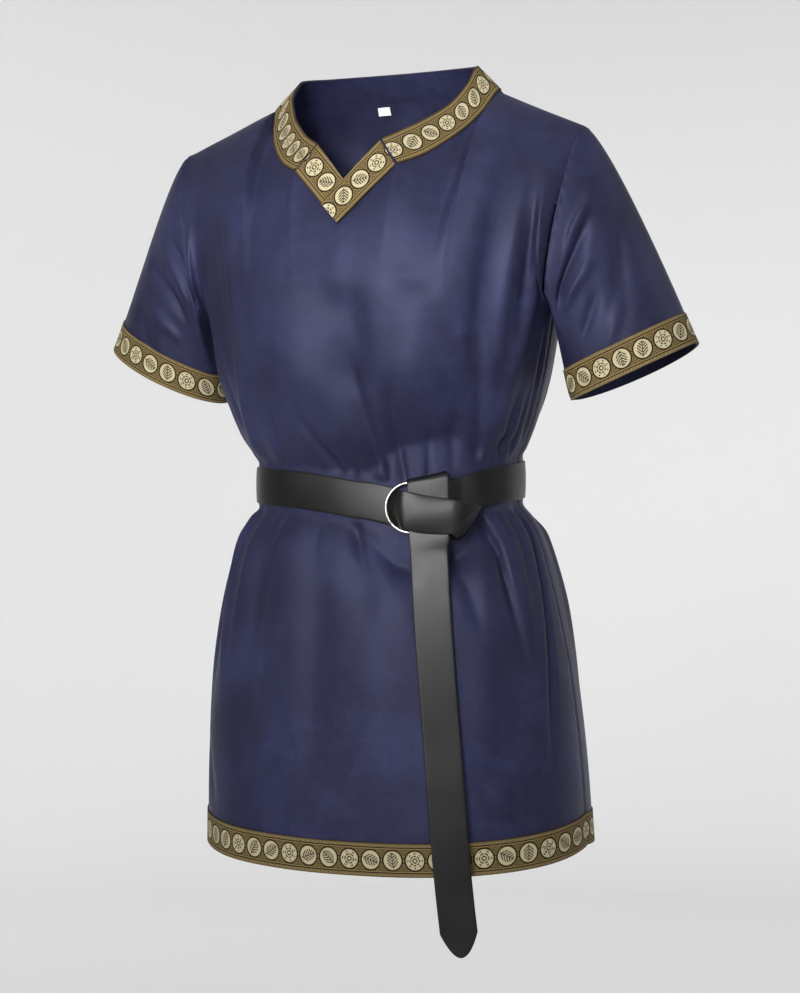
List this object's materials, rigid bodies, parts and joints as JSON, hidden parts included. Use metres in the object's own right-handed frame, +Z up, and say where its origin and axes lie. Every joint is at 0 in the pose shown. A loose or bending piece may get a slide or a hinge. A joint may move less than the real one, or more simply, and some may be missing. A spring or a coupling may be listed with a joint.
{
  "type": "tunic dress with belt",
  "caption": "Hip-length short-sleeved satin tunic with woven ribbon at the notched neck, cuffs and hem, and a leather strap belt knotted through a ring.",
  "frame": {"origin": "between the wearer's shoulders, level with the sides of the neck opening", "axes": "+Z up, the front faces -Y, +X is the wearer's left"},
  "size_m": [0.6506, 0.2938, 0.8991],
  "materials": {
    "satin": "soft satin, navy blue",
    "ribbon": "jacquard woven, gold brown with cream rounds",
    "tab": "matt woven, white",
    "strap": "smooth, soft gloss, black",
    "ring": "polished nickel"
  },
  "bodies": {
    "root": {"front": "satin", "back": "satin", "sleeve_left": "satin", "sleeve_right": "satin", "neck_band": "satin", "neck_ribbon": "ribbon", "slit_ribbon_right": "ribbon", "slit_ribbon_left": "ribbon", "cuff_ribbon_left": "ribbon", "cuff_ribbon_right": "ribbon", "hem_ribbon": "ribbon", "size_tab": "tab", "belt_round": "strap", "belt_tail": "strap", "belt_ring": "ring"}
  },
  "joints": []
}
